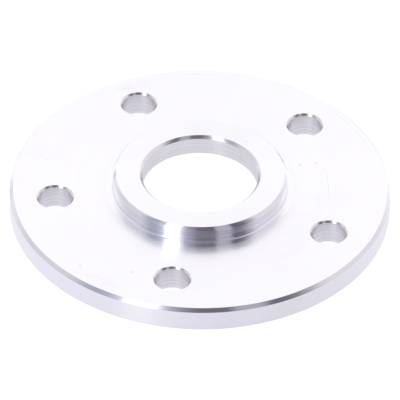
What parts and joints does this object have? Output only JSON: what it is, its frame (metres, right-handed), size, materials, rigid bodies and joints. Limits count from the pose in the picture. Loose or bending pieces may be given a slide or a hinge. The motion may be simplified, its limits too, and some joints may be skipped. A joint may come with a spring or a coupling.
{
  "type": "brake disc spacer",
  "caption": "Turned aluminium spacer that moves a brake disc outward on its hub, with a raised centring register, a hub recess and countersunk bolt holes.",
  "frame": {"origin": "on the spacer's axis, in the plane of the underside that seats on the wheel hub", "axes": "+Z along the axis, from the hub face towards the brake disc; -Y towards the first bolt hole"},
  "size_m": [0.108, 0.108, 0.0124],
  "materials": {
    "turned_aluminium": "bright as turned, bare"
  },
  "bodies": {
    "root": {"spacer": "turned_aluminium"}
  },
  "joints": []
}
